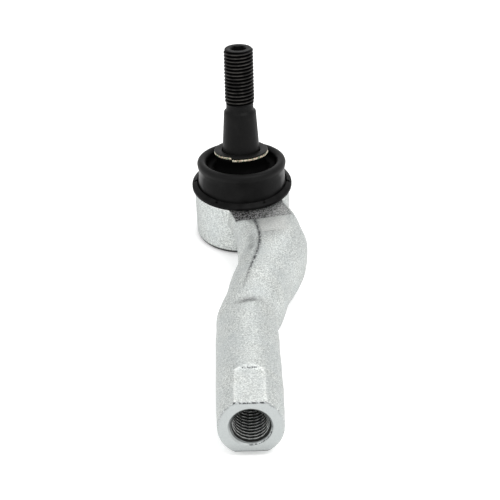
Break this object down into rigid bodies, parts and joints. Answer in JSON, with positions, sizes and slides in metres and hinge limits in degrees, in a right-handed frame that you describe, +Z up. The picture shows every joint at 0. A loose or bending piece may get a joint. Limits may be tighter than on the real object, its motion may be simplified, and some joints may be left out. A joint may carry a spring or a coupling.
{
  "type": "tie rod end",
  "caption": "Outer tie rod end: forged socket with a cranked, internally threaded shank and a booted tapered ball stud that swivels and tilts.",
  "frame": {"origin": "centre of the socket's flat base, on the socket's axis", "axes": "+Z up the socket's axis, out of its mouth; -Y along the straight shank towards the rod thread's mouth; +X to the side that the crank bends to; at rest the stud leans 11 degrees from +Z towards +Y"},
  "size_m": [0.0465, 0.183, 0.0812],
  "materials": {
    "plated_forging": "satin zinc plating over a grained forging",
    "plated_steel": "satin zinc plating",
    "spring_steel": "oiled spring steel",
    "acetal": "satin moulded acetal",
    "phosphated_steel": "black phosphate, oiled",
    "boot_rubber": "satin black moulded rubber",
    "ring_plastic": "satin black moulded ring",
    "passivated_wire": "yellow passivated spring wire"
  },
  "bodies": {
    "housing": {"housing": "plated_forging", "cover_plate": "plated_steel", "preload_spring": "spring_steel", "boot_ring": "ring_plastic"},
    "bearing": {"lower_bearing_cup": "acetal", "upper_bearing_cup": "acetal", "boot": "boot_rubber"},
    "boot_neck": {"clamp_ring": "passivated_wire"},
    "stud": {"ball_stud": "phosphated_steel"}
  },
  "joints": [
    {"name": "bearing_swivel", "type": "hinge", "parent": "housing", "child": "bearing", "pos_m": [0, 0, 0.0132], "axis": [0, 0, 1], "continuous": true},
    {"name": "stud_tilt", "type": "hinge", "parent": "bearing", "child": "boot_neck", "pos_m": [0, 0, 0.0132], "axis": [1, 0, 0], "range_deg": [-9, 31], "deforming": ["boot"]},
    {"name": "stud_spin", "type": "hinge", "parent": "boot_neck", "child": "stud", "pos_m": [0, 0, 0.0132], "axis": [0, 0.1908, 0.9816], "continuous": true}
  ]
}
